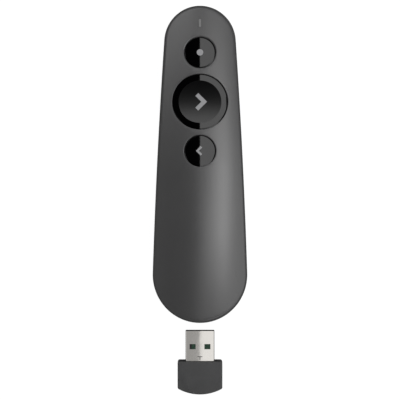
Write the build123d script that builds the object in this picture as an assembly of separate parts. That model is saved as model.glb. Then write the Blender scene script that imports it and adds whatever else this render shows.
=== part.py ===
from build123d import *
import os
from functools import lru_cache
from math import asin, degrees, sqrt

# A presentation clicker that lies on its flat belly, with its USB receiver drawn out behind its tail.
# Millimetres. +Y runs from tail to nose, +X to the right seen from above, +Z up from the table.
# The origin is on the table, in the middle of the ground that the clicker and its receiver cover.

# Casing
body_length = 128.4        # nose tip to tail
nose_radius = 14.55        # of the nose, in plan
tail_radius = 19.15        # of the tail, in plan
side_radius = 3200.0       # the long sides are almost straight
body_height = 25.0         # at the top of the arch
crown_radius = 38.0        # of the back, from side to side
arch_radius = 490.0        # of the back, from end to end
arch_from_tail = 44.3      # top of the arch, from the tail
shoulder_radius = 2.0      # between back and sides
inner_shoulder = 0.6       # at least, of the same edge inside the casing
belly_radius = 8.0         # between sides and flat belly
wall = 1.8
parting_height = 12.5      # joint between the two halves of the casing
parting_groove = 0.25      # depth, and height in each half, of the groove along that joint
lip_height = 1.0
lip_fit = 0.1

# Buttons, by their distance from the nose tip
laser_from_nose = 19.5
next_from_nose = 39.5
back_from_nose = 59.3
laser_well_diameter = 12.6
next_well_diameter = 22.4
back_well_diameter = 12.7
button_gap = 0.4           # between a button and its well, all round
button_sink = 0.1          # of a button's face below the back
button_travel = 0.4
laser_rim = 0.6            # rounding of the casing round each well
next_rim = 0.3
back_rim = 0.3
flange_width = 0.8         # keeps a button from falling out
flange_thickness = 0.8
flange_gap = 0.15          # between the flange and the casing above it
guide_wall = 0.8           # collar in which the flange slides
guide_clearance = 0.25
guide_lift = 0.3           # of the collar above the board, at least
stem_diameter = 4.0
stem_gap = 0.05            # left under a pressed stem
dish_diameter = 17.2       # finger dish in the next button
symbol_depth = 0.4
dot_diameter = 2.6
next_symbol_height = 7.1
next_symbol_stroke = 1.65
next_symbol_shift = 0.48
back_symbol_height = 3.85
back_symbol_stroke = 0.87
back_symbol_shift = -0.38

# Battery bay, under the board
cell_diameter = 10.5
cell_length = 44.5
cell_nub_diameter = 3.8
cell_nub_height = 0.8
cell_nub_root = 0.2        # of the nub inside the can
cell_bevel = 0.35
crimp_from_end = 1.6
crimp_width = 0.5
crimp_depth = 0.2
cell_gap = 0.3             # between the two cells
cell_play = 0.25           # beside and above the cells
bay_wall = 1.2
bay_roof = 1.0
bay_rib_width = 0.9
contact_thickness = 0.4
contact_width = 8.6
contact_margin = 0.6       # between a contact's edges and the bay
contact_tail_height = 0.6  # of the soldered tails above the board
contact_tail_root = 1.0    # of the tails on their plates
contact_tail_width = 2.0
spring_length = 4.0
spring_wire = 0.5
spring_diameter = 5.6
spring_turns = 3
spring_seat = 0.05

# Battery cover
cover_thickness = 1.4
cover_gap = 0.2
cover_ledge = 0.6          # by which the cover laps over the bay's walls
cover_hinge_radius = 1.25
cover_hinge_gap = 0.2
trunnion_radius = 0.6
trunnion_length = 1.0
trunnion_fit = 0.07
cheek_width = 2.4
cheek_height = 3.4
cover_swing = 70.0
cover_rib_width = 0.8
cover_rib_height = 1.5
cover_nose_margin = 2.4    # of the cover in front of the bay
grip_count = 5
grip_pitch = 1.5
grip_width = 0.6
grip_depth = 0.35
grip_length = 8.0
latch_width = 9.0
latch_length = 7.5
latch_slit = 0.5
latch_post = 1.2
latch_height = 3.2
latch_bite = 0.5
latch_barb = 0.9
latch_play = 0.15

# Receiver and its dock
receiver_gap = 5.0         # between tail and plug as the receiver lies
plug_length = 12.5
plug_width = 12.0
plug_height = 4.5
plug_sheet = 0.3
plug_corner = 0.6
plug_lift = 0.95           # of the plug above the table
plug_root = 2.5            # of the plug inside the cap
tab_width = 18.6
tab_length = 14.2
tab_height = 6.4
tab_corner = 0.8
tab_end_corner = 1.0
tab_edge = 0.45
window_width = 2.5
window_length = 2.15
window_spacing = 6.15
window_from_mouth = 6.5
crease_from_mouth = 1.0
crease_width = 0.2
crease_depth = 0.08
seam_width = 2.0
seam_length = 1.2
seam_line = 0.25
seam_from_cap = 0.5
tongue_thickness = 1.75
tongue_play = 0.25
tongue_setback = 0.6
radio_board_width = 8.2
radio_board_shift = 0.6
radio_board_thickness = 0.8
radio_board_setback = 1.2
usb_contact_pitch = 2.25
usb_contact_width = 1.0
usb_contact_length = 7.4
usb_contact_thickness = 0.15
usb_contact_setback = 0.5  # from the tongue's end
nail_groove_radius = 1.0
nail_groove_depth = 0.4
nail_groove_count = 3
nail_groove_pitch = 1.7
nail_groove_from_front = 2.0
dock_gap = 0.2             # round the receiver
dock_wall = 1.0

# Board and what stands on it
board_thickness = 1.0
board_inset = 2.8          # from the outside of the casing
board_tail_overhang = 2.6  # past the battery bay
board_post_diameter = 3.0
board_post_spacing = 14.0
board_post_from_nose = 10.5
switch_size = 6.0
switch_height = 1.2
plunger_diameter = 3.0
plunger_height = 0.5
chip_size = 5.0
chip_height = 0.9
chip_from_back_button = 14.0
crystal_length = 3.2
crystal_width = 2.5
crystal_height = 0.8
crystal_gap = 1.5

# Status light
led_from_nose = 7.4
slot_width = 0.8
slot_length = 3.2
slot_fit = 0.04
pipe_sink = 0.05           # of the light pipe's top below the back
pipe_foot_gap = 0.1        # between its foot and the casing above it
led_width = 1.2
led_length = 2.0
led_height = 0.6
led_gap = 0.1
pipe_foot_height = 1.0
pipe_foot_margin = 0.5

# Laser
laser_height = 9.0
barrel_diameter = 6.0
barrel_length = 11.0
barrel_bore = 3.6
barrel_fit = 0.05
laser_lens_diameter = 3.5
laser_lens_thickness = 1.2
laser_lens_depth = 0.8
saddle_width = 9.0
saddle_length = 6.0
saddle_from_rear = 2.0     # in front of the barrel's rear end
barrel_bevel = 0.3
window_diameter = 4.3
window_fit = 0.05
window_ledge = 0.5
window_thickness = 1.2
window_boss_wall = 1.4
window_boss_depth = 2.2
barrel_from_window = 2.0
lead_diameter = 0.7
lead_spacing = 2.2
lead_run = 2.2
lead_bend = 1.0

# Screws
screw_shank_diameter = 1.9
screw_fit = 0.05
screw_head_diameter = 3.8
screw_head_height = 1.3
screw_head_gap = 0.25
screw_head_recess = 0.7    # of the head inside the belly
screw_length = 15.0
screw_hole_spare = 0.5     # past a screw's tip
screw_slot_width = 0.6
screw_slot_depth = 0.7
screw_post_diameter = 4.4
screw_boss_diameter = 6.2
screw_post_gap = 0.5       # between a post and the board round it
nose_screw_spacing = 16.0
nose_screw_from_nose = 26.2
tail_screw_spacing = 23.2
tail_screw_from_tail = 21.4

# Places that follow
receiver_length = plug_length + tab_length
set_length = body_length + receiver_gap + receiver_length
nose_y = set_length / 2
tail_y = nose_y - body_length
arch_y = tail_y + arch_from_tail
laser_y = nose_y - laser_from_nose
next_y = nose_y - next_from_nose
back_y = nose_y - back_from_nose
led_y = nose_y - led_from_nose
dock_travel = receiver_gap + receiver_length

cell_radius = cell_diameter / 2
cell_x = (cell_diameter + cell_gap) / 2
cell_z = cover_thickness + cover_gap + cell_play + cell_radius
bay_half = cell_x + cell_radius + cell_play
bay_top = cell_z + cell_radius + cell_play
board_z = bay_top + bay_roof
board_top = board_z + board_thickness
plunger_top = board_top + switch_height + plunger_height
stem_z = plunger_top + button_travel + stem_gap

pocket_end_y = tail_y + receiver_length + dock_gap
cover_hinge_y = pocket_end_y + dock_wall + cover_hinge_gap + cover_hinge_radius
bay_tail_y = cover_hinge_y + cover_hinge_radius + cover_hinge_gap
bay_tail_face_y = bay_tail_y + contact_thickness
cell_tail_y = bay_tail_face_y + spring_length
bay_nose_face_y = cell_tail_y + cell_length
bay_nose_y = bay_nose_face_y + contact_thickness
cover_nose_y = bay_nose_y + cover_nose_margin
cover_half = bay_half + cover_ledge

FAR = 200.0


def slab(half_width, y_low, y_high, z_low, z_high):
    """A block across the middle plane, between two heights."""
    centre = Pos(0, (y_low + y_high) / 2, (z_low + z_high) / 2)
    return centre * Box(2 * half_width, y_high - y_low, z_high - z_low)


def block(x_low, x_high, y_low, y_high, z_low, z_high):
    centre = Pos((x_low + x_high) / 2, (y_low + y_high) / 2, (z_low + z_high) / 2)
    return centre * Box(x_high - x_low, y_high - y_low, z_high - z_low)


def post(x, y, diameter, z_low, z_high):
    """An upright cylinder."""
    return Pos(x, y, (z_low + z_high) / 2) * Cylinder(diameter / 2, z_high - z_low)


def rod_y(x, z, radius, y_low, y_high):
    """A cylinder along the clicker."""
    return Pos(x, (y_low + y_high) / 2, z) * Rot(90, 0, 0) * Cylinder(radius, y_high - y_low)


def rod_x(y, z, radius, x_low, x_high):
    """A cylinder across the clicker."""
    return Pos((x_low + x_high) / 2, y, z) * Rot(0, 90, 0) * Cylinder(radius, x_high - x_low)


def both_sides(piece):
    return piece + mirror(piece, about=Plane.YZ)


# The casing's form

def plan_face(inset):
    """Outline seen from above: round nose and tail, joined by nearly straight tangent sides."""
    nose = Vector(0, nose_y - nose_radius)
    tail = Vector(0, tail_y + tail_radius)
    to_nose = side_radius - nose_radius
    to_tail = side_radius - tail_radius
    span = nose.Y - tail.Y
    along = (to_tail ** 2 - to_nose ** 2 + span ** 2) / (2 * span)
    centre = Vector(-sqrt(to_tail ** 2 - along ** 2), tail.Y + along)
    side = side_radius - inset
    to_front = (nose - centre).normalized()
    to_rear = (tail - centre).normalized()
    front = centre + to_front * side
    rear = centre + to_rear * side
    middle = centre + (to_front + to_rear).normalized() * side
    tip = (0, nose_y - inset)
    end = (0, tail_y + inset)
    edges = [
        ThreePointArc((front.X, front.Y), tip, (-front.X, front.Y)),
        ThreePointArc((-front.X, front.Y), (-middle.X, middle.Y), (-rear.X, rear.Y)),
        ThreePointArc((-rear.X, rear.Y), end, (rear.X, rear.Y)),
        ThreePointArc((rear.X, rear.Y), (middle.X, middle.Y), (front.X, front.Y)),
    ]
    return make_face(Curve() + edges)


def back_solid(inset):
    """Everything under the back, which is crowned across and arched along."""
    crown = crown_radius - inset
    top = body_height - inset
    reach = 1.2 * tail_radius
    cosine = sqrt(crown ** 2 - reach ** 2) / crown
    edge_z = top - crown + crown * cosine
    pole_z = top - crown + crown / cosine
    floor_z = -body_height
    outline = Curve() + [
        # A true arc, given by its poles: a plain arc would lay the surface's seam along the back
        Bezier((-reach, edge_z), (0, pole_z), (reach, edge_z), weights=[1, cosine, 1]),
        Line((reach, edge_z), (reach, floor_z)),
        Line((reach, floor_z), (-reach, floor_z)),
        Line((-reach, floor_z), (-reach, edge_z)),
    ]
    section = Plane((0, arch_y, 0), x_dir=(1, 0, 0), z_dir=(0, -1, 0)) * make_face(outline)
    axis = Axis((0, arch_y, body_height - arch_radius), (1, 0, 0))
    half_turn = 1.3 * degrees(asin((body_length - arch_from_tail) / arch_radius))
    return revolve(section.rotate(axis, -half_turn), axis, 2 * half_turn)


@lru_cache(maxsize=None)
def casing(inset):
    """The casing's outer form, shrunk all over by inset."""
    form = extrude(Pos(0, 0, inset) * plan_face(inset), 2 * body_height) & back_solid(inset)
    back = form.faces().sort_by(Axis.Z)[-1]
    form = fillet(back.edges(), max(shoulder_radius - inset, inner_shoulder))
    belly = form.faces().sort_by(Axis.Z)[0]
    return fillet(belly.edges(), belly_radius - inset)


def back_height(y, inset=0.0):
    """Height of the back over the middle plane."""
    return body_height - arch_radius + sqrt((arch_radius - inset) ** 2 - (y - arch_y) ** 2)


def crown_drop(reach, inset=0.0):
    """How much lower the back is, this far from the middle plane."""
    crown = crown_radius - inset
    return crown - sqrt(crown ** 2 - reach ** 2)


def belly_inset(z):
    """How far inside its outline the casing's side is at this height."""
    below_side = max(belly_radius - z, 0)
    return belly_radius - sqrt(belly_radius ** 2 - below_side ** 2)


def parting_line_groove(z_low, z_high):
    ring = casing(0.0) - casing(parting_groove)
    return ring & slab(FAR, -FAR, FAR, z_low, z_high)


def above(z):
    return slab(FAR, -FAR, FAR, z, z + FAR)


def below(z):
    return slab(FAR, -FAR, FAR, z - FAR, z)


# Each button: its place, its well and what its rim and symbol are
button_table = {
    "laser": (laser_y, laser_well_diameter, laser_rim),
    "next": (next_y, next_well_diameter, next_rim),
    "back": (back_y, back_well_diameter, back_rim),
}


def flange_diameter(well):
    return well - 2 * button_gap + 2 * flange_width


def flange_underside(y, well):
    """Height of a button's flat underside, below the lowest point of its flange."""
    reach = flange_diameter(well) / 2
    roof = back_height(y, wall) - crown_drop(reach, wall)
    return roof - flange_gap - flange_thickness


def rim_edges(shell, y, diameter):
    """The upper edges of a well."""
    lowest = back_height(y) - crown_drop(diameter / 2) - wall / 2
    found = []
    for edge in shell.edges():
        centre_distances = []
        for where in (0.0, 0.33, 0.71):
            point = edge.position_at(where)
            centre_distances.append(sqrt(point.X ** 2 + (point.Y - y) ** 2))
        on_circle = all(abs(distance - diameter / 2) < 0.01 for distance in centre_distances)
        if on_circle and edge.center().Z > lowest:
            found.append(edge)
    return found


def screw_places():
    """x, y of the two screws on the right."""
    return [
        (nose_screw_spacing / 2, nose_y - nose_screw_from_nose),
        (tail_screw_spacing / 2, tail_y + tail_screw_from_tail),
    ]


def screw_seat_z():
    """Height of the seat under each screw's head."""
    return screw_head_recess + screw_head_height


def slot_prism(fit, z_low, z_high):
    """The upright slot of the status light, grown by fit."""
    outline = SlotOverall(slot_length + 2 * fit, slot_width + 2 * fit, rotation=90)
    return extrude(Pos(0, led_y, z_low) * outline, z_high - z_low)


def make_top_shell():
    inside = casing(wall)
    shell = (casing(0.0) & above(parting_height)) - inside
    rebate = casing((wall - lip_fit) / 2) & slab(FAR, -FAR, FAR, 0, parting_height + lip_height + lip_fit)
    shell -= rebate
    shell -= parting_line_groove(parting_height, parting_height + parting_groove)

    # Wells with rounded rims, then the collars in which the button flanges slide
    for y, well, rim in button_table.values():
        shell -= post(0, y, well, 0, FAR)
        shell = fillet(rim_edges(shell, y, well), rim)
    roof = casing(wall / 2)
    for y, well, rim in button_table.values():
        slide = flange_diameter(well) + 2 * guide_clearance
        foot = max(flange_underside(y, well) - 2 * button_travel, board_top + guide_lift)
        shell += post(0, y, slide + 2 * guide_wall, foot, FAR) & roof
    for y, well, rim in button_table.values():
        slide = flange_diameter(well) + 2 * guide_clearance
        shell -= post(0, y, slide, 0, FAR) & inside
        shell -= post(0, y, well, 0, back_height(y))

    # Posts for the screws
    for x, y in screw_places():
        shell += both_sides(post(x, y, screw_post_diameter, parting_height, FAR) & roof)
    for x, y in screw_places():
        end_z = screw_seat_z() + screw_length + screw_hole_spare
        hole = post(x, y, screw_shank_diameter + 2 * screw_fit, 0, end_z)
        shell -= both_sides(hole)

    return shell - slot_prism(slot_fit, parting_height, FAR)


def bottom_rim_lip():
    """Lip along the top of the lower half, which enters the upper half."""
    ring = casing((wall + lip_fit) / 2) - casing(wall)
    return ring & slab(FAR, -FAR, FAR, parting_height - lip_height, parting_height + lip_height)


def cover_opening():
    """The hole in the belly for the cover and its hinge."""
    half = cover_half + cover_gap
    opening = slab(half, cover_hinge_y - cover_hinge_radius - cover_hinge_gap, cover_nose_y + cover_gap,
                   -1, belly_radius)
    opening -= casing(cover_thickness + cover_gap)
    barrel = rod_x(cover_hinge_y, cover_hinge_radius, cover_hinge_radius + cover_hinge_gap, -half, half)
    end = half + trunnion_length
    pins = rod_x(cover_hinge_y, cover_hinge_radius, trunnion_radius + trunnion_fit, -end, end)
    return opening + barrel + pins


def latch_hook_box(play):
    """Space of the latch's hook, grown by play."""
    root_y = cover_nose_y - latch_post
    return (
        slab(latch_width / 2 + play, root_y - play, cover_nose_y + play,
             0, cover_thickness + latch_height + play)
        + slab(latch_width / 2 + play, root_y - play, cover_nose_y + cover_gap + latch_bite + play,
               wall + latch_play - play, wall + latch_play + latch_barb + play)
    )


def make_bottom_shell():
    shell = (casing(0.0) & below(parting_height)) - casing(wall)
    shell -= parting_line_groove(parting_height - parting_groove, parting_height)
    shell += bottom_rim_lip()
    body = casing(wall / 2)

    # Battery bay
    nose_wall_y = cover_nose_y + cover_gap + latch_bite + bay_wall
    bay = slab(bay_half + bay_wall, bay_tail_y - bay_wall, nose_wall_y, 0, board_z)
    bay += slab(cover_half + cover_gap + bay_wall, bay_tail_y - bay_wall, nose_wall_y,
                0, cover_thickness + cover_gap + bay_wall)
    shell += bay & body
    shell -= slab(bay_half, bay_tail_y, bay_nose_y, -1, bay_top)
    for x, y_low, y_high in contact_tails():
        half = contact_tail_width / 2 + contact_margin / 4
        shell -= block(x - half, x + half, y_low, y_high, bay_top - contact_tail_root, board_top)
    rib_z = cell_z + cell_radius / 2
    shell += slab(bay_rib_width / 2, bay_tail_face_y + spring_length, bay_nose_face_y - spring_length,
                  rib_z, bay_top + bay_roof / 2)

    # Hinge cheeks either side of the cover
    inner = cover_half + cover_gap
    cheek = block(inner, inner + cheek_width, cover_hinge_y - cheek_width, cover_hinge_y + cheek_width,
                  0, cheek_height)
    shell += both_sides(cheek & body)

    # Dock for the receiver: a notch for its cap and a pocket for its plug
    notch_half = tab_width / 2 + dock_gap
    notch_top = tab_height + dock_gap
    notch_end_y = tail_y + tab_length + dock_gap
    dock = slab(notch_half + dock_wall, tail_y, notch_end_y + dock_wall, 0, notch_top + dock_wall)
    pocket_half = plug_width / 2 + dock_gap
    pocket_low = plug_lift - dock_gap
    pocket_top = plug_lift + plug_height + dock_gap
    dock += slab(pocket_half + dock_wall, notch_end_y, pocket_end_y + dock_wall, 0, pocket_top + dock_wall)
    shell += dock & body
    shell -= slab(notch_half, tail_y - 1, notch_end_y, -1, notch_top)
    shell -= slab(pocket_half, notch_end_y - 1, pocket_end_y, pocket_low, pocket_top)
    shell -= cover_opening()
    shell -= latch_hook_box(latch_play)

    # Screw bosses and board posts
    for x, y in screw_places():
        boss = post(x, y, screw_boss_diameter, 0, parting_height)
        shell += both_sides(boss & body)
        seat = post(x, y, screw_head_diameter + 2 * screw_head_gap, -1, screw_seat_z())
        shank = post(x, y, screw_shank_diameter + 2 * screw_fit, -1, FAR)
        shell -= both_sides(seat + shank)
    board_post = post(board_post_spacing / 2, nose_y - board_post_from_nose, board_post_diameter, 0, board_z)
    shell += both_sides(board_post & body)

    # Laser saddle and window boss
    saddle_y = barrel_rear_y() + saddle_from_rear
    saddle = slab(saddle_width / 2, saddle_y, saddle_y + saddle_length, 0, laser_height)
    saddle -= rod_y(0, laser_height, barrel_diameter / 2 + barrel_fit, -FAR, FAR)
    shell += saddle & body
    boss_radius = window_diameter / 2 + window_boss_wall
    shell += rod_y(0, laser_height, boss_radius, window_seat_y() - window_boss_depth, nose_y) & body
    shell -= rod_y(0, laser_height, window_diameter / 2 - window_ledge, window_seat_y() - FAR / 20, nose_y + 1)
    shell -= rod_y(0, laser_height, window_diameter / 2 + window_fit, window_seat_y(), nose_y + 1)
    return shell


def window_seat_y():
    return nose_y - window_thickness - parting_groove


def barrel_front_y():
    return window_seat_y() - window_boss_depth - barrel_from_window


def barrel_rear_y():
    return barrel_front_y() - barrel_length


# Battery cover

def make_battery_cover():
    plate = slab(cover_half, cover_hinge_y, cover_nose_y, 0, belly_radius) & casing(0.0)
    plate -= casing(cover_thickness)
    barrel = rod_x(cover_hinge_y, cover_hinge_radius, cover_hinge_radius, -cover_half, cover_half)
    end = cover_half + trunnion_length
    pins = rod_x(cover_hinge_y, cover_hinge_radius, trunnion_radius, -end, end)
    cover = plate + barrel + pins
    rib_end = cover_nose_y - latch_length - cover_nose_margin
    cover += slab(cover_rib_width / 2, cell_tail_y, rib_end, cover_thickness / 2,
                  cover_thickness + cover_rib_height)
    for step in range(grip_count):
        y = rib_end - step * grip_pitch
        cover -= slab(grip_length, y - grip_width / 2, y + grip_width / 2, -1, grip_depth)
    gap = slab(latch_width / 2 + latch_slit, cover_nose_y - latch_length, cover_nose_y + 1, -1, belly_radius)
    return cover - gap


def make_cover_latch():
    tongue = slab(latch_width / 2, cover_nose_y - latch_length, cover_nose_y, 0, cover_thickness)
    post_part = slab(latch_width / 2, cover_nose_y - latch_post, cover_nose_y,
                     0, cover_thickness + latch_height)
    barb_z = wall + latch_play
    barb = slab(latch_width / 2, cover_nose_y - latch_post, cover_nose_y + cover_gap + latch_bite,
                barb_z, barb_z + latch_barb)
    tip = (barb.faces().sort_by(Axis.Y)[-1].edges() | Axis.X).sort_by(Axis.Z)[-1]
    return tongue + post_part + chamfer(tip, latch_barb / 2)


# Buttons

def button_blank(y, well):
    """Face that follows the back, flange under the casing, and stem over the switch."""
    diameter = well - 2 * button_gap
    low = flange_underside(y, well)
    face = post(0, y, diameter, low, FAR) & casing(button_sink)
    flange = post(0, y, flange_diameter(well), low, FAR) & casing(wall + flange_gap)
    room = switch_size / 2 + button_gap
    over_switch = slab(room, y - room, y + room, 0, stem_z - plunger_height)
    stem = post(0, y, stem_diameter, stem_z, back_height(y, button_sink) - 2 * symbol_depth)
    return face + flange - over_switch + stem


def chevron(height, stroke):
    """A square-ended arrowhead that points to +X, centred on its own box."""
    arm = height / sqrt(2)
    corner = Polygon((0, 0), (arm, 0), (arm, stroke), (stroke, stroke), (stroke, arm), (0, arm),
                     align=None)
    turned = Rot(0, 0, 135) * corner
    return Pos((arm + stroke) / sqrt(2) / 2, 0) * turned


def dish_tool():
    """Finger groove across the next button. On the crowned face its outline is a circle."""
    reach = dish_diameter / 2
    face_crown = crown_radius - button_sink
    depth = face_crown - sqrt(face_crown ** 2 - reach ** 2)
    arch = arch_radius - button_sink
    rise = depth - (arch - sqrt(arch ** 2 - reach ** 2))
    groove = (reach ** 2 + rise ** 2) / (2 * rise)
    tilt = asin((next_y - arch_y) / arch_radius)
    foot = Pos(0, next_y, back_height(next_y, button_sink)) * Rot(-degrees(tilt), 0, 0)
    cutter = foot * Pos(0, 0, groove - depth) * Rot(0, 90, 0) * Cylinder(groove, FAR)
    return cutter, depth


def split_symbol(blank, prism):
    """A button and the symbol let into its face."""
    return blank - prism, blank & prism


def make_buttons():
    pieces = {}
    laser = button_blank(laser_y, laser_well_diameter)
    top = back_height(laser_y, button_sink)
    prism = post(0, laser_y, dot_diameter, top - symbol_depth, FAR)
    pieces["laser_button"], pieces["laser_symbol"] = split_symbol(laser, prism)

    cutter, depth = dish_tool()
    forward = button_blank(next_y, next_well_diameter) - cutter
    top = back_height(next_y, button_sink) - depth
    symbol = Pos(next_symbol_shift, next_y, top - symbol_depth) * chevron(next_symbol_height,
                                                                         next_symbol_stroke)
    prism = extrude(symbol, FAR)
    pieces["next_button"], pieces["next_symbol"] = split_symbol(forward, prism)

    backward = button_blank(back_y, back_well_diameter)
    top = back_height(back_y, button_sink)
    turned = Rot(0, 0, 180) * chevron(back_symbol_height, back_symbol_stroke)
    symbol = Pos(back_symbol_shift, back_y, top - symbol_depth) * turned
    pieces["back_button"], pieces["back_symbol"] = split_symbol(backward, extrude(symbol, FAR))
    return pieces


# Electronics

def make_main_board():
    outline = extrude(Pos(0, 0, board_z) * plan_face(board_inset), board_thickness)
    board = outline & slab(FAR, bay_tail_y - board_tail_overhang, FAR, 0, FAR)
    hole = screw_post_diameter + 2 * screw_post_gap
    x, y = screw_places()[0]
    board -= both_sides(post(x, y, hole, 0, FAR))
    for tail_x, tail_low, tail_high in contact_tails():
        board -= block(tail_x - contact_tail_width / 2 - contact_margin / 2,
                       tail_x + contact_tail_width / 2 + contact_margin / 2,
                       tail_low - contact_margin / 4, tail_high + contact_margin / 4, 0, FAR)
    return board


def make_switch(y):
    """Low push switch with a round plunger."""
    base = slab(switch_size / 2, y - switch_size / 2, y + switch_size / 2,
                board_top, board_top + switch_height)
    base = fillet(base.edges() | Axis.Z, switch_size / 10)
    return base + post(0, y, plunger_diameter, board_top, plunger_top)


def make_chip():
    y = back_y - chip_from_back_button
    chip = slab(chip_size / 2, y - chip_size / 2, y + chip_size / 2, board_top, board_top + chip_height)
    return chamfer(chip.faces().sort_by(Axis.Z)[-1].edges(), chip_height / 6)


def make_crystal():
    x = chip_size / 2 + crystal_gap
    y = back_y - chip_from_back_button
    can = block(x, x + crystal_length, y - crystal_width / 2, y + crystal_width / 2,
                board_top, board_top + crystal_height)
    return fillet(can.edges() | Axis.Z, crystal_width / 6)


def make_led():
    return slab(led_width / 2, led_y - led_length / 2, led_y + led_length / 2, board_top,
                board_top + led_height)


def make_light_pipe():
    low = board_top + led_height + led_gap
    pipe = slot_prism(0.0, low, FAR) & casing(pipe_sink)
    foot = slab(slot_width / 2 + pipe_foot_margin, led_y - slot_length / 2 - pipe_foot_margin,
                led_y + slot_length / 2 + pipe_foot_margin, low, low + pipe_foot_height)
    return pipe + (foot & casing(wall + pipe_foot_gap))


# Laser

def make_laser_barrel():
    front, rear = barrel_front_y(), barrel_rear_y()
    barrel = rod_y(0, laser_height, barrel_diameter / 2, rear, front)
    barrel = chamfer(barrel.edges().filter_by(GeomType.CIRCLE), barrel_bevel)
    seat = front - laser_lens_depth - laser_lens_thickness
    return barrel - rod_y(0, laser_height, barrel_bore / 2, seat, front + 1)


def make_laser_lens():
    front = barrel_front_y() - laser_lens_depth
    lens = rod_y(0, laser_height, laser_lens_diameter / 2, front - laser_lens_thickness, front)
    rim = lens.faces().sort_by(Axis.Y)[-1].edges()
    return fillet(rim, laser_lens_thickness / 3)


def make_laser_window():
    disc = rod_y(0, laser_height, window_diameter / 2, window_seat_y(), nose_y + 1)
    return disc & casing(window_fit)


def make_laser_leads():
    """Two stiff leads from the laser up to the board."""
    rear = barrel_rear_y()
    leads = Part()
    for x in (-lead_spacing / 2, lead_spacing / 2):
        route = FilletPolyline((x, rear, laser_height), (x, rear - lead_run, laser_height),
                               (x, rear - lead_run, board_z), radius=lead_bend)
        section = Plane(origin=route @ 0, z_dir=route % 0) * Circle(lead_diameter / 2)
        leads += sweep(section, path=route)
    return leads


# Battery cells and contacts

def make_cell(x, nub_to_nose):
    can = cell_length - cell_nub_height
    body = Cylinder(cell_radius, can, align=(Align.CENTER, Align.CENTER, Align.MIN))
    body = chamfer(body.edges().filter_by(GeomType.CIRCLE), cell_bevel)
    ring = Cylinder(cell_diameter, crimp_width) - Cylinder(cell_radius - crimp_depth, crimp_width)
    crimp = Pos(0, 0, can - crimp_from_end) * ring
    nub = Pos(0, 0, can - cell_nub_root) * Cylinder(cell_nub_diameter / 2, cell_nub_height + cell_nub_root,
                                                    align=(Align.CENTER, Align.CENTER, Align.MIN))
    cell = body - crimp + nub
    if nub_to_nose:
        return Pos(x, cell_tail_y, cell_z) * Rot(-90, 0, 0) * cell
    return Pos(x, bay_tail_face_y + cell_length, cell_z) * Rot(90, 0, 0) * cell


def make_spring(x, y_low):
    """Coil spring along a cell, between a contact and the cell's flat end."""
    room = spring_length - 2 * spring_seat
    height = room - spring_wire
    path = Helix(height / spring_turns, height, (spring_diameter - spring_wire) / 2)
    coil = sweep(Plane(origin=path @ 0, z_dir=path % 0) * Circle(spring_wire / 2), path=path)
    return Pos(x, y_low + spring_seat + spring_wire / 2, cell_z) * Rot(-90, 0, 0) * coil


def contact_plate(x_low, x_high, y_low):
    z_low = cell_z - cell_radius + contact_margin
    return block(x_low, x_high, y_low, y_low + contact_thickness, z_low, bay_top)


def contact_tails():
    """x, low y and high y of the soldered tails of the two separate contacts."""
    return [(side * cell_x, bay_tail_y, bay_tail_face_y) for side in (-1, 1)]


def make_contact(x):
    """Separate contact at the tail end of the bay, soldered to the board."""
    plate = contact_plate(x - contact_width / 2, x + contact_width / 2, bay_tail_y)
    tail = block(x - contact_tail_width / 2, x + contact_tail_width / 2, bay_tail_y, bay_tail_face_y,
                 bay_top - contact_tail_root, board_top + contact_tail_height)
    return plate + tail


def make_contact_bridge():
    """One strip across both cells, at the nose end of the bay."""
    reach = cell_x + contact_width / 2
    return contact_plate(-reach, reach, bay_nose_face_y)


def make_screws():
    screws = Part()
    for x, y in screw_places():
        seat = screw_seat_z()
        screw = post(x, y, screw_head_diameter, screw_head_recess, seat)
        screw = fillet(screw.faces().sort_by(Axis.Z)[0].edges(), screw_head_height / 4)
        screw += post(x, y, screw_shank_diameter, seat, seat + screw_length)
        cross = Box(2 * screw_slot_width * 2, screw_slot_width, screw_slot_depth)
        cross += Rot(0, 0, 90) * cross
        screw -= Pos(x, y, screw_head_recess + screw_slot_depth / 2) * cross
        screws += both_sides(screw)
    return screws


# Receiver, modelled docked in the tail and drawn out by its travel

def plug_envelope(grow, y_low, y_high):
    """Rounded box of the plug, grown outwards."""
    centre_z = plug_lift + plug_height / 2
    section = RectangleRounded(plug_width + 2 * grow, plug_height + 2 * grow, plug_corner + grow)
    face = Plane((0, y_low, centre_z), x_dir=(-1, 0, 0), z_dir=(0, 1, 0)) * section
    return extrude(face, y_high - y_low)


tab_front_y = tail_y + tab_length
mouth_y = tab_front_y + plug_length


def make_receiver_cap():
    rim_inset = belly_inset(tab_height - 2 * tab_edge)
    middle = (tail_y - 1 + tab_front_y) / 2
    outline = plan_face(rim_inset) & (Pos(0, middle) * Rectangle(tab_width, tab_front_y - tail_y + 1))
    outline = fillet(outline.vertices().sort_by(Axis.Y)[-2:], tab_corner)
    outline = fillet(outline.vertices().sort_by(Axis.Y)[:2], tab_end_corner)
    cap = extrude(outline, tab_height) & casing(0.0)
    top = cap.faces().sort_by(Axis.Z)[-1]
    cap = fillet(top.edges(), tab_edge)
    cap -= plug_envelope(0.0, tab_front_y - plug_root, tab_front_y + 1)
    for step in range(nail_groove_count):
        y = tab_front_y - nail_groove_from_front - step * nail_groove_pitch
        cap -= rod_x(y, nail_groove_depth - nail_groove_radius, nail_groove_radius, -tab_width / 3,
                     tab_width / 3)
    return cap


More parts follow.
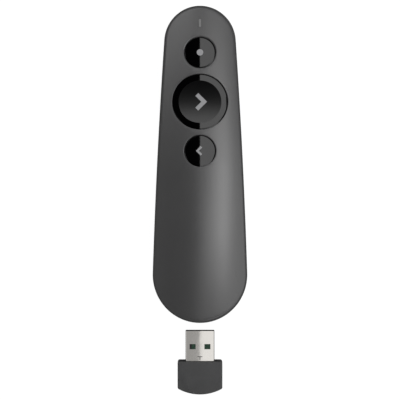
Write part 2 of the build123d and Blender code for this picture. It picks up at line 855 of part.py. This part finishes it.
def make_receiver_shell():
    """Folded steel sleeve with two windows on each broad side."""
    shell = plug_envelope(0.0, tab_front_y - plug_root, mouth_y)
    shell -= plug_envelope(-plug_sheet, tab_front_y - plug_root, mouth_y + 1)
    y = mouth_y - window_from_mouth
    for x in (-window_spacing / 2, window_spacing / 2):
        shell -= block(x - window_width / 2, x + window_width / 2, y - window_length / 2,
                       y + window_length / 2, 0, FAR)
    top = plug_lift + plug_height
    crease_y = mouth_y - crease_from_mouth
    shell -= slab(plug_width / 2 - plug_corner, crease_y - crease_width / 2, crease_y + crease_width / 2,
                  top - crease_depth, FAR)
    seam_y = tab_front_y + seam_from_cap
    shell -= slab(seam_line / 2, seam_y, seam_y + seam_length, top - plug_sheet / 2, FAR)
    shell -= slab(seam_width / 2, seam_y + seam_length, seam_y + seam_length + seam_line,
                  top - plug_sheet / 2, FAR)
    return shell


def radio_board_box():
    roof = plug_lift + plug_height - plug_sheet
    return block(radio_board_shift - radio_board_width / 2, radio_board_shift + radio_board_width / 2,
                 tab_front_y - plug_root, mouth_y - radio_board_setback,
                 roof - radio_board_thickness, roof)


def make_receiver_tongue():
    roof = plug_lift + plug_height - plug_sheet
    half = plug_width / 2 - plug_sheet - tongue_play
    tongue = slab(half, tab_front_y - plug_root, mouth_y - tongue_setback, roof - tongue_thickness, roof)
    return tongue - radio_board_box()


def make_usb_contacts():
    face = plug_lift + plug_height - plug_sheet - tongue_thickness
    strips = Part()
    for step in (-1.5, -0.5, 0.5, 1.5):
        x = step * usb_contact_pitch
        high = mouth_y - tongue_setback - usb_contact_setback
        strips += block(x - usb_contact_width / 2, x + usb_contact_width / 2, high - usb_contact_length, high,
                        face - usb_contact_thickness, face)
    return strips


def drawn_out(piece):
    return Pos(0, -dock_travel, 0) * piece


nodes = {
    "top_shell": make_top_shell(),
    "bottom_shell": make_bottom_shell(),
    "battery_cover": make_battery_cover(),
    "cover_latch": make_cover_latch(),
    **make_buttons(),
    "main_board": make_main_board(),
    "laser_switch": make_switch(laser_y),
    "next_switch": make_switch(next_y),
    "back_switch": make_switch(back_y),
    "radio_chip": make_chip(),
    "crystal": make_crystal(),
    "status_led": make_led(),
    "light_pipe": make_light_pipe(),
    "laser_barrel": make_laser_barrel(),
    "laser_lens": make_laser_lens(),
    "laser_window": make_laser_window(),
    "laser_leads": make_laser_leads(),
    "battery_left": make_cell(-cell_x, True),
    "battery_right": make_cell(cell_x, False),
    "spring_left": make_spring(-cell_x, bay_tail_face_y),
    "spring_right": make_spring(cell_x, bay_nose_face_y - spring_length),
    "contact_left": make_contact(-cell_x),
    "contact_right": make_contact(cell_x),
    "contact_bridge": make_contact_bridge(),
    "case_screws": make_screws(),
    "receiver_cap": drawn_out(make_receiver_cap()),
    "receiver_shell": drawn_out(make_receiver_shell()),
    "receiver_tongue": drawn_out(make_receiver_tongue()),
    "receiver_board": drawn_out(radio_board_box()),
    "receiver_contacts": drawn_out(make_usb_contacts()),
}

os.makedirs("parts", exist_ok=True)
for name, piece in nodes.items():
    export_step(piece, f"parts/{name}.step")
print("receiver slides", round(dock_travel, 3))
print("cover turns", cover_swing, "about y", round(cover_hinge_y, 3), "z", cover_hinge_radius)
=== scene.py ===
from math import atan, pi, radians, tan

import bmesh
import bpy
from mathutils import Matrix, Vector


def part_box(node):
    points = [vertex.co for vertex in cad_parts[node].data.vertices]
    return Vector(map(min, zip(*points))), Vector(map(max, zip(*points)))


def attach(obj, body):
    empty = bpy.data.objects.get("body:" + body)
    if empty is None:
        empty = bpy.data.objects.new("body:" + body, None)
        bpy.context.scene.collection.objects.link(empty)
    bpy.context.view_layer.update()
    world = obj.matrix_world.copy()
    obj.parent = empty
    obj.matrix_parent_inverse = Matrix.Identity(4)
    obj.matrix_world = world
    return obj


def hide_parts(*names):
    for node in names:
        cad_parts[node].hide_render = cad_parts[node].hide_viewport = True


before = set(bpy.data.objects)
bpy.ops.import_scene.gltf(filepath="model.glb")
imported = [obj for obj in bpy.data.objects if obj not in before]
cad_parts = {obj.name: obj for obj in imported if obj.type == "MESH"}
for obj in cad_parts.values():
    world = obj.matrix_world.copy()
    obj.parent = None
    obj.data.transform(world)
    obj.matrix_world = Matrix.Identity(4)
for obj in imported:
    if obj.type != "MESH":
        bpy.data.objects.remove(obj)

scene = bpy.context.scene
scene.view_settings.view_transform = "Standard"
bpy.context.view_layer.update()
mm = 0.001
skin = {"sharpAngle": 35, "merge": 0.002 * mm}


def newPiece(name, bm, material, body):
    mesh = bpy.data.meshes.new(name)
    bm.normal_update()
    bm.to_mesh(mesh)
    bm.free()
    if "custom_normal" in mesh.attributes:      # the loose triangles' own, out of date once joined
        mesh.attributes.remove(mesh.attributes["custom_normal"])
    mesh.shade_smooth()
    mesh.set_sharp_from_angle(angle=radians(skin["sharpAngle"]))
    mesh.materials.clear()
    mesh.materials.append(material)
    piece = bpy.data.objects.new(name, mesh)
    scene.collection.objects.link(piece)
    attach(piece, body)
    return piece


def smoothCopy(node, material, body):
    # the CAD shape with its triangles joined up, so that light runs smoothly over it
    bm = bmesh.new()
    bm.from_mesh(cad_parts[node].data)
    bmesh.ops.remove_doubles(bm, verts=bm.verts, dist=skin["merge"])
    piece = newPiece(node + "_skin", bm, material, body)
    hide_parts(node)
    return piece


def dress(nodes, material):
    # better material on CAD nodes that keep their own mesh
    for node in nodes:
        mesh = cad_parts[node].data
        mesh.materials.clear()
        mesh.materials.append(material)


def grey(level):
    return (level, level, level, 1)


class Wire:
    # an output socket that works in sums
    def __init__(self, owner, socket):
        self.owner, self.socket = owner, socket

    def maths(self, operation, *values):
        return self.owner.node("ShaderNodeMath", {"operation": operation}, values)

    def __add__(self, other):
        return self.maths("ADD", self, other)

    __radd__ = __add__

    def __mul__(self, other):
        return self.maths("MULTIPLY", self, other)

    __rmul__ = __mul__

    def __sub__(self, other):
        return self.maths("SUBTRACT", self, other)

    def __rsub__(self, other):
        return self.maths("SUBTRACT", other, self)

    def __abs__(self):
        return self.maths("ABSOLUTE", self)


class NodeTree:
    # the nodes of a material or of the world
    def __init__(self, tree):
        self.tree = tree

    def node(self, kind, settings=None, inputs=(), output=0):
        made = self.tree.nodes.new(kind)
        for key, value in (settings or {}).items():
            setattr(made, key, value)
        pairs = inputs.items() if isinstance(inputs, dict) else enumerate(inputs)
        for socket, value in pairs:
            self.join(value, made.inputs[socket])
        return Wire(self, made.outputs[output])

    def join(self, value, socket):
        if isinstance(value, Wire):
            self.tree.links.new(value.socket, socket)
        else:
            socket.default_value = value

    def between(self, mask, low, high):
        return mask * (high - low) + low

    def around(self, mask, middle, spread):
        return self.between(mask, middle - spread, middle + spread)

    def blend(self, mask, first, second):
        return self.node("ShaderNodeMix", {"data_type": "RGBA"}, {0: mask, 6: first, 7: second}, 2)

    def step(self, value, start, end):
        # 0 at start, 1 at end, soft between
        return self.node("ShaderNodeMapRange", {"interpolation_type": "SMOOTHSTEP"},
                         {"Value": value, "From Min": start, "From Max": end})

    def seenByLens(self):
        return self.node("ShaderNodeLightPath", output="Is Camera Ray")


class Recipe(NodeTree):
    # one material under construction
    def __init__(self, name, **constants):
        self.material = bpy.data.materials.new(name)
        self.material.use_nodes = True
        super().__init__(self.material.node_tree)
        self.shader = self.tree.nodes["Principled BSDF"]
        self.place = self.node("ShaderNodeTexCoord", output="Object")
        self.finish(**constants)

    def finish(self, **sockets):
        for name, value in sockets.items():
            self.join(value, self.shader.inputs[name.replace("_", " ")])
        return self.material

    def noise(self, grainSize, detail=3, roughness=0.5, place=None):
        # grainSize in metres
        return self.node("ShaderNodeTexNoise", {}, {
            "Vector": place or self.place, "Scale": 1 / grainSize,
            "Detail": detail, "Roughness": roughness}, "Fac")

    def along(self, axis):
        return self.node("ShaderNodeSeparateXYZ", {}, [self.place], axis)

    def stretched(self, x, y, z):
        return self.node("ShaderNodeMapping", {}, {"Vector": self.place, "Scale": (x, y, z)})

    def greyed(self, level, blue=1.0):
        return self.node("ShaderNodeCombineColor", {}, (level, level, level * blue))

    def bump(self, height, depth, strength):
        return self.node("ShaderNodeBump", {}, {
            "Height": height, "Distance": depth, "Strength": strength})


view = {
    "distance": 0.490,          # of the lens above the table
    "across": 0.164,            # width in view, at the level below
    "widthLevel": 0.012,
    "ahead": 0.0011,            # of the lens, towards the nose
    "clip": (0.01, 20),
}


def makeCamera():
    lens = bpy.data.cameras.new("overhead")
    lens.sensor_fit = "HORIZONTAL"
    lens.angle = 2 * atan(view["across"] / 2 / (view["distance"] - view["widthLevel"]))
    lens.clip_start, lens.clip_end = view["clip"]
    camera = bpy.data.objects.new("overhead", lens)
    camera.location = (0, view["ahead"], view["distance"])
    scene.collection.objects.link(camera)
    scene.camera = camera


makeCamera()
print("camera ready")


studio = {
    "cardHeight": 0.80,
    "wallRadiance": 0.167,      # as the object sees the walls
    "wallGlow": 1.0,            # as the lens sees them
    "wallTop": 0.70,            # sine of the height where they fade
    "wallFade": 0.08,           # half the band of the fade
}

# Flat cards overhead: what each one lights, its radiance, and the angles from straight up that
# it covers, across and along
cards = [
    ("pushers", 0.80, (0, 34), (-34, 32)),
    ("dish", 2.50, (-50, 30), (27, 52)),
    ("sleeve", 0.50, (-30, 0), (-34, 10)),
    ("sleeve", 1.25, (0, 34), (-34, 10)),
    ("sleeve", 0.70, (-80, -30), (-75, 75)),
    ("sleeve", 1.00, (34, 80), (-75, 75)),
    ("sleeve", 0.80, (-30, 34), (10, 75)),
    ("sleeve", 0.80, (-30, 34), (-75, -34)),
    ("rest", 0.77, (0, 6), (-34, 32)),
    ("rest", 2.2, (6, 14), (-12, 1)),
    ("rest", 2.3, (14, 22), (-12, 1)),
    ("rest", 2.0, (14, 22), (1, 14)),
    ("rest", 5.1, (22, 30), (-12, 1)),
    ("rest", 2.7, (22, 30), (1, 14)),
    ("rest", 4.0, (30, 38), (-12, 1)),
    ("rest", 5.0, (30, 38), (1, 14)),
    ("rest", 1.0, (38, 48), (-40, 14)),
    ("rest", 1.0, (48, 64), (-30, 14)),
    ("rest", 1.9, (6, 34), (14, 28)),
    ("rest", 1.7, (-56, -8), (27, 42)),
    ("rest", 0.3, (-8, 10), (27, 42)),
    ("rest", 0.75, (10, 48), (24, 42)),
    ("rest", 1.0, (-56, 30), (42, 58)),
    ("rest", 1.0, (64, 76), (-62, 45)),
    ("rest", 0.9, (10, 64), (-64, -42)),
    ("fill", 0.56, (-60, 60), (-60, 60)),
]


def makeCard(number, group, radiance, across, along):
    height = studio["cardHeight"]
    west, east = (height * tan(radians(angle)) for angle in across)
    south, north = (height * tan(radians(angle)) for angle in along)
    light = bpy.data.lights.new(group + "Light", "AREA")
    light.shape = "RECTANGLE"
    light.size = east - west
    light.size_y = north - south
    light.energy = radiance * pi * light.size * light.size_y
    card = bpy.data.objects.new(group + "Card_%d" % number, light)
    card.location = ((west + east) / 2, (south + north) / 2, height)
    card.visible_glossy = group != "fill"       # the fill lifts shadows and shows in no gloss
    scene.collection.objects.link(card)
    return card


def linkLight(card, group, members):
    # the fill lights all, a card for a group lights that group alone, the rest's cards light no group
    if group == "fill":
        return
    flagged = bpy.data.collections.new(card.name + "Pieces")
    for piece in members[group] if group in members else sum(members.values(), []):
        flagged.objects.link(piece)
    card.light_linking.receiver_collection = flagged
    for entry in flagged.collection_objects:
        entry.light_linking.link_state = "INCLUDE" if group in members else "EXCLUDE"


def makeWalls():
    # dim walls round the object, white ones for the lens
    world = bpy.data.worlds.new("walls")
    world.use_nodes = True
    scene.world = world
    walls = NodeTree(world.node_tree)
    walls.tree.nodes.remove(walls.tree.nodes["Background"])
    allRound = walls.node("ShaderNodeTexCoord", output="Generated")
    height = walls.node("ShaderNodeSeparateXYZ", {}, [allRound], "Z")
    top, fade = studio["wallTop"], studio["wallFade"]
    dim = walls.node("ShaderNodeBackground", {}, {
        "Color": walls.step(height, top + fade, top - fade), "Strength": studio["wallRadiance"]})
    white = walls.node("ShaderNodeBackground", {}, {
        "Color": grey(1), "Strength": studio["wallGlow"]})
    either = walls.node("ShaderNodeMixShader", {}, [walls.seenByLens(), dim, white])
    walls.join(either, walls.tree.nodes["World Output"].inputs["Surface"])


table = {
    "albedo": 0.12,             # as the object sees it
    "albedoSpread": 0.01,
    "glow": 0.95,               # as the lens sees it
    "roughness": 0.9,
    "patch": 0.05,
    "grain": 0.0008,
    "grainDepth": 0.00002,
    "relief": 0.3,
    "radius": 2.5,
    "drop": 0.05 * mm,          # keeps it just below the belly
}


def makeTable():
    recipe = Recipe("paleFloor", Roughness=table["roughness"], Emission_Strength=table["glow"])
    patches = recipe.noise(table["patch"], 2)
    grain = recipe.noise(table["grain"])
    albedo = recipe.around(patches, table["albedo"], table["albedoSpread"])
    material = recipe.finish(
        Base_Color=recipe.greyed(albedo),
        Emission_Color=recipe.blend(recipe.seenByLens(), grey(0), grey(1)),
        Normal=recipe.bump(grain, table["grainDepth"], table["relief"]))
    bm = bmesh.new()
    bmesh.ops.create_circle(bm, cap_ends=True, segments=96, radius=table["radius"])
    mesh = bpy.data.meshes.new("floor")
    bm.to_mesh(mesh)
    bm.free()
    mesh.materials.append(material)
    floor = bpy.data.objects.new("floor", mesh)
    floor.location.z = -table["drop"]
    scene.collection.objects.link(floor)


studioCards = [makeCard(number, *card) for number, card in enumerate(cards)]
makeWalls()
makeTable()
print("studio ready")


casing = {
    "dark": (0.0477, 0.0477, 0.04876, 1),
    "light": (0.05936, 0.05883, 0.05936, 1),
    "cloud": 0.018,             # size of the mottling
    "cloudSway": 0.25,          # how far it and the grain sway the shade
    "grainSway": 0.25,
    "roughness": 0.33,
    "roughnessSpread": 0.03,
    "reflection": 1.0,
    "grain": 0.00022,           # size of the moulded texture
    "cell": 0.000275,
    "cellShare": 0.4,
    "depth": 0.000012,
    "relief": 0.5,
}


def makeCasingPlastic():
    recipe = Recipe("casingPlastic", IOR=1.5, Specular_IOR_Level=casing["reflection"])
    clouds = recipe.noise(casing["cloud"])
    grain = recipe.noise(casing["grain"], 3, 0.6)
    cells = recipe.node("ShaderNodeTexVoronoi", {"feature": "SMOOTH_F1"}, {
        "Vector": recipe.place, "Scale": 1 / casing["cell"]}, "Distance")
    mottle = recipe.around(clouds, 0.5, casing["cloudSway"]) + (grain - 0.5) * casing["grainSway"]
    moulded = grain * (1 - casing["cellShare"]) + cells * casing["cellShare"]
    return recipe.finish(
        Base_Color=recipe.blend(mottle, casing["dark"], casing["light"]),
        Roughness=recipe.around(clouds, casing["roughness"], casing["roughnessSpread"]),
        Normal=recipe.bump(moulded, casing["depth"], casing["relief"]))


casingPlastic = makeCasingPlastic()
smoothCopy("top_shell", casingPlastic, "presenter")
smoothCopy("bottom_shell", casingPlastic, "presenter")
smoothCopy("battery_cover", casingPlastic, "battery_cover")
smoothCopy("cover_latch", casingPlastic, "battery_cover")
print("casing ready")


buttons = {
    "shade": 0.0012,
    "shadeSpread": 0.00024,
    "blueTint": 1.1,
    "smear": 0.006,
    "roughnessSpread": 0.02,
    "grain": 0.00018,
    "relief": 0.4,
    "glossRoughness": 0.05,
    "glossDepth": 0.0000005,
    "dishRoughness": 0.34,
    "dishDepth": 0.000006,
}

symbols = {
    "dark": (0.27, 0.27, 0.28, 1),
    "light": (0.33, 0.33, 0.34, 1),
    "roughness": 0.4,
    "cloud": 0.0015,
    "grain": 0.0002,
    "depth": 0.000004,
    "relief": 0.3,
}

fingerDish = {
    "radius": 8.7 * mm,
    "reach": 4 * mm,            # from the button's top down to below the dish
    "leastUp": 0.5,             # its faces look up this much or more
    "mostAside": 0.02,          # and to the side this much or less
    "lift": 0.02 * mm,
    "thick": 0.05 * mm,
}


def makeButtonPlastic(name, roughness, depth, **constants):
    recipe = Recipe(name, **constants)
    smear = recipe.noise(buttons["smear"], 4)
    grain = recipe.noise(buttons["grain"], 3, 0.6)
    shade = recipe.around(smear, buttons["shade"], buttons["shadeSpread"])
    return recipe.finish(
        Base_Color=recipe.greyed(shade, buttons["blueTint"]),
        Roughness=recipe.around(smear, roughness, buttons["roughnessSpread"]),
        Normal=recipe.bump(grain, depth, buttons["relief"]))


def makeSymbolPlastic():
    recipe = Recipe("symbolPlastic", IOR=1.5, Roughness=symbols["roughness"])
    clouds = recipe.noise(symbols["cloud"])
    grain = recipe.noise(symbols["grain"])
    return recipe.finish(
        Base_Color=recipe.blend(clouds, symbols["dark"], symbols["light"]),
        Normal=recipe.bump(grain, symbols["depth"], symbols["relief"]))


def makeDish(piece, material):
    # a satin skin over the finger dish, a closed shell that stands a hair above the gloss
    low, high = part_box("next_button")
    centre = Vector(((low.x + high.x) / 2, (low.y + high.y) / 2))
    bm = bmesh.new()
    bm.from_mesh(piece.data)
    bmesh.ops.delete(bm, context="FACES", geom=[
        face for face in bm.faces
        if face.normal.z < fingerDish["leastUp"] or abs(face.normal.x) > fingerDish["mostAside"]
        or face.calc_center_median().z < high.z - fingerDish["reach"]
        or (face.calc_center_median().xy - centre).length > fingerDish["radius"]])
    bmesh.ops.translate(bm, verts=bm.verts, vec=(0, 0, fingerDish["lift"]))
    bmesh.ops.solidify(bm, geom=bm.faces, thickness=fingerDish["thick"])
    made = newPiece("next_button_dish", bm, material, "next_button")
    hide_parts("next_button")
    return made


glossPlastic = makeButtonPlastic("glossPlastic", buttons["glossRoughness"], buttons["glossDepth"],
                                 IOR=1.6, Specular_IOR_Level=1.0)
dishPlastic = makeButtonPlastic("dishPlastic", buttons["dishRoughness"], buttons["dishDepth"],
                                IOR=1.5)
symbolPlastic = makeSymbolPlastic()
pushers = []
for place in ("laser", "next", "back"):
    pushers.append(smoothCopy(place + "_button", glossPlastic, place + "_button"))
    smoothCopy(place + "_symbol", symbolPlastic, place + "_button")
dish = makeDish(pushers[1], dishPlastic)
print("buttons ready")


pipe = {
    "dark": grey(0.19),
    "light": grey(0.26),
    "roughness": 0.3,
    "clear": 0.15,              # share of light let through
    "milk": 0.0009,             # size of the cloudiness
}

noseWindow = {
    "dark": (0.05, 0.006, 0.008, 1),
    "light": (0.08, 0.010, 0.012, 1),
    "roughness": 0.05,
    "clear": 0.5,
    "smoke": 0.004,             # size of the smoky clouds
}


def makeLightPipe():
    recipe = Recipe("lightPipe", IOR=1.49, Roughness=pipe["roughness"],
                    Transmission_Weight=pipe["clear"])
    milk = recipe.noise(pipe["milk"])
    return recipe.finish(Base_Color=recipe.blend(milk, pipe["dark"], pipe["light"]))


def makeWindowPlastic():
    recipe = Recipe("windowPlastic", IOR=1.5, Roughness=noseWindow["roughness"],
                    Transmission_Weight=noseWindow["clear"])
    smoke = recipe.noise(noseWindow["smoke"], 2)
    return recipe.finish(Base_Color=recipe.blend(smoke, noseWindow["dark"], noseWindow["light"]))


smoothCopy("light_pipe", makeLightPipe(), "presenter")
smoothCopy("laser_window", makeWindowPlastic(), "presenter")
print("windows ready")


cap = {
    "dark": (0.043, 0.043, 0.044, 1),
    "light": (0.060, 0.060, 0.061, 1),
    "cloud": 0.004,
    "roughness": 0.43,
    "roughnessSpread": 0.03,
    "grain": 0.0002,
    "depth": 0.00001,
    "relief": 0.4,
}

plug = {
    "dark": (0.5766, 0.558, 0.5301, 1),
    "light": (0.62, 0.60, 0.57, 1),
    "cloud": 0.005,
    "roughness": 0.035,
    "roughnessSpread": 0.015,
    "brush": 0.0006,            # size of the brush marks, and their stretch along the plug
    "brushStretch": 0.04,
    "depth": 0.0000002,
    "relief": 0.2,
}

seam = {
    # painted shade: a near-black grey for the sunk seam in front of the cap
    "paintedShade": grey(0.02),
    "fromCap": 0.5 * mm,
    "length": 1.45 * mm,
    "half": 1.05 * mm,
    "edge": 0.1 * mm,
    "shallow": 0.03 * mm,       # below the plug's top face, where the painted shade starts and where it is full
    "deep": 0.08 * mm,
}

tongue = {
    "dark": grey(0.006),
    "light": grey(0.010),
    "roughness": 0.475,
    "roughnessSpread": 0.075,
    "grain": 0.0003,
    "depth": 0.000006,
    "relief": 0.3,
}


def makeCapPlastic():
    recipe = Recipe("capPlastic", IOR=1.5)
    clouds = recipe.noise(cap["cloud"])
    grain = recipe.noise(cap["grain"])
    return recipe.finish(
        Base_Color=recipe.blend(clouds, cap["dark"], cap["light"]),
        Roughness=recipe.around(clouds, cap["roughness"], cap["roughnessSpread"]),
        Normal=recipe.bump(grain, cap["depth"], cap["relief"]))


def paintedSeamShade(recipe):
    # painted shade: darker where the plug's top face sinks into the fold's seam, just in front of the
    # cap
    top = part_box("receiver_shell")[1].z
    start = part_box("receiver_cap")[1].y + seam["fromCap"]
    end = start + seam["length"]
    sunk = 1 - recipe.step(recipe.along("Z"), top - seam["deep"], top - seam["shallow"])
    near = 1 - recipe.step(abs(recipe.along("X")), seam["half"], seam["half"] + seam["edge"])
    ahead = recipe.step(recipe.along("Y"), start - seam["edge"], start)
    before = 1 - recipe.step(recipe.along("Y"), end, end + seam["edge"])
    return sunk * near * ahead * before


def makePlugSteel():
    recipe = Recipe("plugSteel", Metallic=1)
    brushed = recipe.noise(plug["brush"], 4, 0.6, recipe.stretched(1, plug["brushStretch"], 1))
    steel = recipe.blend(recipe.noise(plug["cloud"], 2), plug["light"], plug["dark"])
    return recipe.finish(
        # the seam's painted shade laid over the steel
        Base_Color=recipe.blend(paintedSeamShade(recipe), steel, seam["paintedShade"]),
        Roughness=recipe.around(brushed, plug["roughness"], plug["roughnessSpread"]),
        Normal=recipe.bump(brushed, plug["depth"], plug["relief"]))


def makeTonguePlastic():
    recipe = Recipe("tonguePlastic", IOR=1.5)
    grain = recipe.noise(tongue["grain"])
    return recipe.finish(
        Base_Color=recipe.blend(grain, tongue["dark"], tongue["light"]),
        Roughness=recipe.around(grain, tongue["roughness"], tongue["roughnessSpread"]),
        Normal=recipe.bump(grain, tongue["depth"], tongue["relief"]))


smoothCopy("receiver_cap", makeCapPlastic(), "receiver")
sleeve = smoothCopy("receiver_shell", makePlugSteel(), "receiver")
flatFaces = sleeve.modifiers.new("flatFaces", "WEIGHTED_NORMAL")
flatFaces.keep_sharp = True                     # keeps the broad sides flat to the light
dress(["receiver_tongue"], makeTonguePlastic())
print("receiver ready")


laminate = {
    "dark": (0.004, 0.030, 0.014, 1),
    "light": (0.010, 0.055, 0.026, 1),
    "roughness": 0.35,
    "weave": 900,               # scale of the wave texture, 0.35 mm a thread
    "waver": 0.6,
    "cloud": 0.004,
    "weaveShare": 0.4,
    "depth": 0.00001,
    "relief": 0.3,
}

# finishes of the inner parts: a dark and a light shade, and the roughness
metals = {
    "contactGold": ((0.80, 0.58, 0.25, 1), (0.90, 0.68, 0.32, 1), 0.22),
    "contactSteel": ((0.58, 0.57, 0.55, 1), (0.72, 0.71, 0.68, 1), 0.28),
    "switchMetal": ((0.50, 0.50, 0.48, 1), (0.62, 0.62, 0.60, 1), 0.35),
    "crystalCan": ((0.60, 0.60, 0.58, 1), (0.72, 0.72, 0.70, 1), 0.25),
    "barrelBrass": ((0.62, 0.42, 0.16, 1), (0.74, 0.52, 0.22, 1), 0.3),
    "screwSteel": ((0.10, 0.10, 0.105, 1), (0.16, 0.16, 0.165, 1), 0.38),
}
plastics = {
    "chipResin": ((0.010, 0.010, 0.011, 1), (0.016, 0.016, 0.017, 1), 0.5),
    "ledResin": ((0.60, 0.60, 0.52, 1), (0.70, 0.70, 0.62, 1), 0.3),
    "lensGlass": ((0.20, 0.02, 0.02, 1), (0.28, 0.03, 0.03, 1), 0.06),
    "leadCover": ((0.30, 0.01, 0.01, 1), (0.40, 0.02, 0.02, 1), 0.45),
    "cellJacket": ((0.10, 0.10, 0.11, 1), (0.13, 0.13, 0.14, 1), 0.32),
}
metalGrain = {"cloud": 0.003, "grain": 0.0005, "depth": 0.000004, "relief": 0.2, "spread": 0.05}
plasticGrain = {"cloud": 0.004, "grain": 0.0004, "depth": 0.000006, "relief": 0.3, "spread": 0.05}


def makeBoardLaminate():
    recipe = Recipe("boardLaminate", IOR=1.5, Roughness=laminate["roughness"])
    warp, weft = (recipe.node("ShaderNodeTexWave", {"wave_type": "BANDS", "bands_direction": axis}, {
        "Vector": recipe.place, "Scale": laminate["weave"], "Distortion": laminate["waver"]}, "Fac")
        for axis in "XY")
    weave = warp * weft
    share = laminate["weaveShare"]
    mottle = recipe.noise(laminate["cloud"]) * (1 - share) + weave * share
    return recipe.finish(
        Base_Color=recipe.blend(mottle, laminate["dark"], laminate["light"]),
        Normal=recipe.bump(weave, laminate["depth"], laminate["relief"]))


def makeInner(name, look, texture, **constants):
    dark, light, roughness = look
    recipe = Recipe(name, **constants)
    clouds = recipe.noise(texture["cloud"])
    grain = recipe.noise(texture["grain"])
    return recipe.finish(
        Base_Color=recipe.blend(clouds, dark, light),
        Roughness=recipe.around(grain, roughness, texture["spread"]),
        Normal=recipe.bump(grain, texture["depth"], texture["relief"]))


def makeMetal(name):
    return makeInner(name, metals[name], metalGrain, Metallic=1)


def makePlastic(name):
    return makeInner(name, plastics[name], plasticGrain, IOR=1.5)


dress(["receiver_board", "main_board"], makeBoardLaminate())
dress(["receiver_contacts"], makeMetal("contactGold"))
dress(["laser_switch", "next_switch", "back_switch"], makeMetal("switchMetal"))
dress(["radio_chip"], makePlastic("chipResin"))
dress(["crystal"], makeMetal("crystalCan"))
dress(["status_led"], makePlastic("ledResin"))
dress(["laser_barrel"], makeMetal("barrelBrass"))
dress(["laser_lens"], makePlastic("lensGlass"))
dress(["laser_leads"], makePlastic("leadCover"))
dress(["contact_left", "contact_right", "contact_bridge", "spring_left", "spring_right"],
      makeMetal("contactSteel"))
dress(["case_screws"], makeMetal("screwSteel"))
cellJacket = makePlastic("cellJacket")
for side in ("left", "right"):
    smoothCopy("battery_" + side, cellJacket, "presenter")
print("inside ready")


for card, (group, *_) in zip(studioCards, cards):
    linkLight(card, group, {"pushers": pushers, "dish": [dish], "sleeve": [sleeve]})
print("lights linked")
